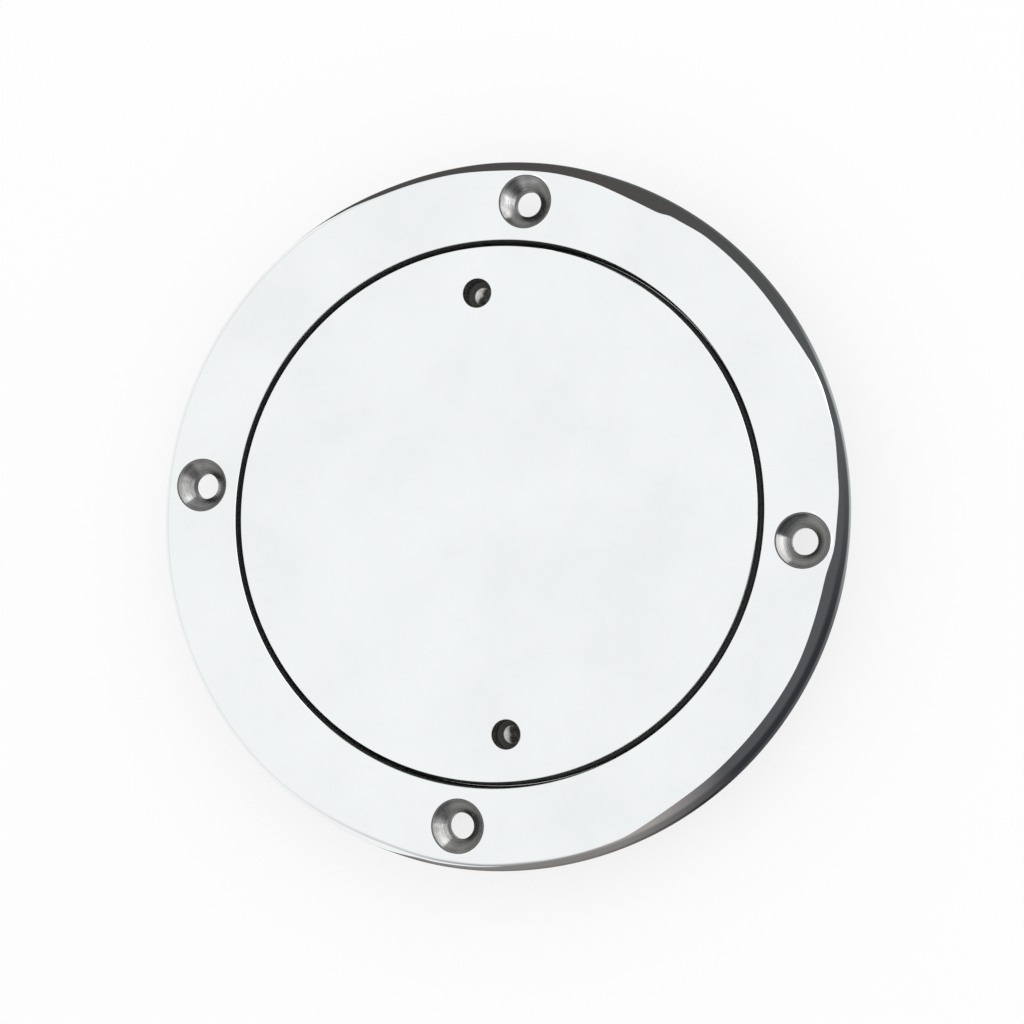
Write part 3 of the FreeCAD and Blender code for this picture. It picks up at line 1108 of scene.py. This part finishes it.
@dataclass
class Studio:
    """The floor, the light and the camera. Lengths are in metres.

    The tones are what the steel reflects of the room, where 1 is white. A direction's height is
    its Z part, from 0 at the horizon to 1 overhead, and its side is its X part.

    Attributes:
        floor_tone: Grey of the floor in its own light.
        floor_glow: How far the floor is plain white to the camera and in the steel.
        horizon: Tone of the horizon.
        pale_side: Tone of the horizon at the left.
        side_reach: Sides between which pale_side changes to horizon.
        side_height: Heights between which the horizon's tone changes to white.
        shade: Tone of the dark corner of the room.
        shade_towards: Direction of that corner.
        shade_reach: How near to it a direction is where the corner begins, and where it is full.
        shade_height: Heights between which the corner changes to white.
        opening: Tone of the bright opening.
        opening_azimuth: Its two sides, in degrees.
        opening_height: Its lower and upper edge.
        azimuth_soft: Softness of its sides, in radians.
        height_soft: Softness of its lower and upper edge.
        lamp_power: Power of the lamp, in watts.
        camera_aim: Direction that the camera looks in.
        camera_turn: How far the picture's upward direction is turned from Y, in degrees.
        lens: Focal length, in millimetres.
        sensor: Width of the camera's sensor, in millimetres.
    """

    floor_level: float = RING_BOTTOM * MM
    floor_half: float = 3.0
    floor_tone: Colour = rgb(0.88, 0.88, 0.88)
    floor_glow: float = 0.75
    horizon: float = 0.38
    pale_side: float = 0.88
    side_reach: Point = (-0.7, -0.2)
    side_height: Point = (0.12, 0.45)
    shade: float = 0.10
    shade_towards: Vector = Vector((0.64, -0.77, 0.0))
    shade_reach: Point = (0.75, 0.95)
    shade_height: Point = (0.4, 0.62)
    opening: float = 2.1
    opening_azimuth: Point = (-4.0, 72.0)
    opening_height: Point = (0.04, 0.32)
    azimuth_soft: float = 0.06
    height_soft: float = 0.03
    lamp_place: Vector = Vector((0.30, 0.42, 0.55))
    lamp_size: Point = (0.5, 0.5)
    lamp_power: float = 0.8
    camera_place: Vector = Vector((0.1446, -0.0259, 0.4851))
    camera_aim: Vector = Vector((-0.27971, 0.05233, -0.95866))
    camera_turn: float = 6.37
    lens: float = 86.52
    sensor: float = 36.0
    clip_start: float = 0.01

    def floor(self) -> bpy.types.Object:
        """A plain pale floor at the collar's lower end."""
        shape = bmesh.new()
        bmesh.ops.create_grid(
            shape, x_segments=1, y_segments=1, size=self.floor_half,
            matrix=Matrix.Translation((0.0, 0.0, self.floor_level)),
        )
        material, graph = Finish.begin("pale_floor")
        plain = graph.node("ShaderNodeBsdfDiffuse", {"Color": self.floor_tone})
        white = graph.node("ShaderNodeEmission", {"Color": WHITE, "Strength": 1.0})
        rays = graph.node("ShaderNodeLightPath").outputs
        direct = graph.math("MAXIMUM", rays["Is Camera Ray"], rays["Is Glossy Ray"])
        seen = graph.math("MULTIPLY", direct, self.floor_glow)
        both = graph.node("ShaderNodeMixShader", {0: seen, 1: plain.outputs[0], 2: white.outputs[0]})
        graph.node("ShaderNodeOutputMaterial", {"Surface": both.outputs[0]})
        floor = settle(shape, "floor", [material])
        return floor

    def room(self) -> None:
        """A white room, whose horizon is grey in the steel and has one bright opening."""
        world = bpy.data.worlds.new("white_room")
        world.use_nodes = True
        graph = Graph(world.node_tree)
        heading = graph.node("ShaderNodeTexCoord").outputs["Generated"]
        parts = graph.node("ShaderNodeSeparateXYZ", {0: heading}).outputs
        height = parts["Z"]
        shaded = graph.vector("DOT_PRODUCT", heading, tuple(self.shade_towards), output="Value")
        side = graph.span(parts["X"], *self.side_reach, to_low=self.pale_side, to_high=self.horizon)
        pale = graph.mix(graph.span(height, *self.side_height), side, 1.0)
        dark = graph.mix(graph.span(height, *self.shade_height), self.shade, 1.0)
        tone = graph.mix(graph.span(shaded, *self.shade_reach), pale, dark)
        azimuth = graph.math("ARCTAN2", parts["Y"], parts["X"])
        across = self.window(graph, azimuth, *map(math.radians, self.opening_azimuth), self.azimuth_soft)
        upwards = self.window(graph, height, *self.opening_height, self.height_soft)
        tone = graph.mix(graph.math("MULTIPLY", across, upwards), tone, self.opening)
        glossy = graph.node("ShaderNodeLightPath").outputs["Is Glossy Ray"]
        level = graph.mix(glossy, 1.0, tone)
        back = graph.node("ShaderNodeBackground", {"Color": WHITE, "Strength": level})
        graph.node("ShaderNodeOutputWorld", {"Surface": back.outputs[0]})
        bpy.context.scene.world = world

    def lamp(self) -> None:
        """A soft lamp that casts the shadow and doesn't show in the steel."""
        data = bpy.data.lights.new("soft_lamp", "AREA")
        data.shape = "RECTANGLE"
        data.size, data.size_y = self.lamp_size
        data.energy = self.lamp_power
        lamp = bpy.data.objects.new("soft_lamp", data)
        bpy.context.scene.collection.objects.link(lamp)
        lamp.location = self.lamp_place
        lamp.rotation_euler = (-self.lamp_place).to_track_quat("-Z", "Y").to_euler()
        lamp.visible_glossy = False

    @staticmethod
    def window(graph: Graph, value: Any, low: float, high: float, soft: float) -> bpy.types.NodeSocket:
        """1 where the value is between low and high, and 0 elsewhere, with soft ends."""
        above = graph.span(value, low - soft, low + soft)
        below = graph.span(value, high - soft, high + soft, to_low=1.0, to_high=0.0)
        return graph.math("MULTIPLY", above, below)

    def camera(self) -> None:
        """The camera at the photograph's place."""
        data = bpy.data.cameras.new("camera")
        data.lens = self.lens
        data.sensor_width = self.sensor
        data.clip_start = self.clip_start
        made = bpy.data.objects.new("camera", data)
        bpy.context.scene.collection.objects.link(made)
        turned = math.radians(self.camera_turn)
        aim = self.camera_aim.normalized()
        right = aim.cross(Vector((-math.sin(turned), math.cos(turned), 0.0))).normalized()
        up = right.cross(aim)
        made.matrix_world = Matrix((
            (right.x, up.x, -aim.x, self.camera_place.x),
            (right.y, up.y, -aim.y, self.camera_place.y),
            (right.z, up.z, -aim.z, self.camera_place.z),
            (0.0, 0.0, 0.0, 1.0),
        ))
        bpy.context.scene.camera = made


def main() -> None:
    """Builds the pieces in order, then the studio."""
    bpy.context.scene.view_settings.view_transform = "Standard"
    ring_maker = DeckRing()
    lid_maker = ScrewLid()
    mirror = MirrorSteel().build()
    turned = TurnedSteel().build()
    cast = CastSteel().build()
    # Painted shade: the walls of the gap between lid and ring are a little darker than the turned steel.
    gap = TurnedSteel(
        name="shaded_gap_steel", bright=rgb(0.54, 0.55, 0.55), dull=rgb(0.41, 0.415, 0.42), roughness=0.42
    ).build()
    # Both hole finishes darken with painted shade in the corners and deep in the holes, and with grime in
    # small patches.
    sunk = SunkSteel(
        holes=tuple(ring_maker.hole_centres()), name="countersunk_steel",
        unshaded_band=(ring_maker.hole_radius + 0.25, 5.2), unshaded_above=RING_TOP + 1.0,
        bright=rgb(0.49, 0.49, 0.485), dull=rgb(0.33, 0.33, 0.327), grime_and_painted_shade=rgb(0.075, 0.075, 0.072),
    ).build()
    drilled = SunkSteel(
        holes=tuple(lid_maker.key_centres()), name="drilled_steel", unshaded_band=(0.55, 1.7), unshaded_above=2.7,
        bright=rgb(0.76, 0.75, 0.73), dull=rgb(0.66, 0.65, 0.63), grime_and_painted_shade=rgb(0.075, 0.075, 0.07),
    ).build()
    ring = ring_maker.build([mirror, turned, cast, sunk, gap])
    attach(ring, "ring")
    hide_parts("deck_ring")
    log.info("deck ring: %d faces", len(ring.data.polygons))
    lid = lid_maker.build([mirror, turned, cast, drilled, gap])
    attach(lid, "lid")
    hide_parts("screw_lid")
    log.info("screw lid: %d faces", len(lid.data.polygons))
    seal = LidSeal().build(Rubber().build())
    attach(seal, "seal")
    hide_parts("lid_seal")
    log.info("lid seal: %d faces", len(seal.data.polygons))
    studio = Studio()
    studio.floor()
    DarkCard().build()
    right_hole, top_hole = ring_maker.hole_centres()[:2]
    GlintCard().build([right_hole, top_hole])
    studio.room()
    studio.lamp()
    studio.camera()


if __name__ == "__main__":
    logging.basicConfig(level=logging.INFO, format="%(name)s %(message)s")
    main()
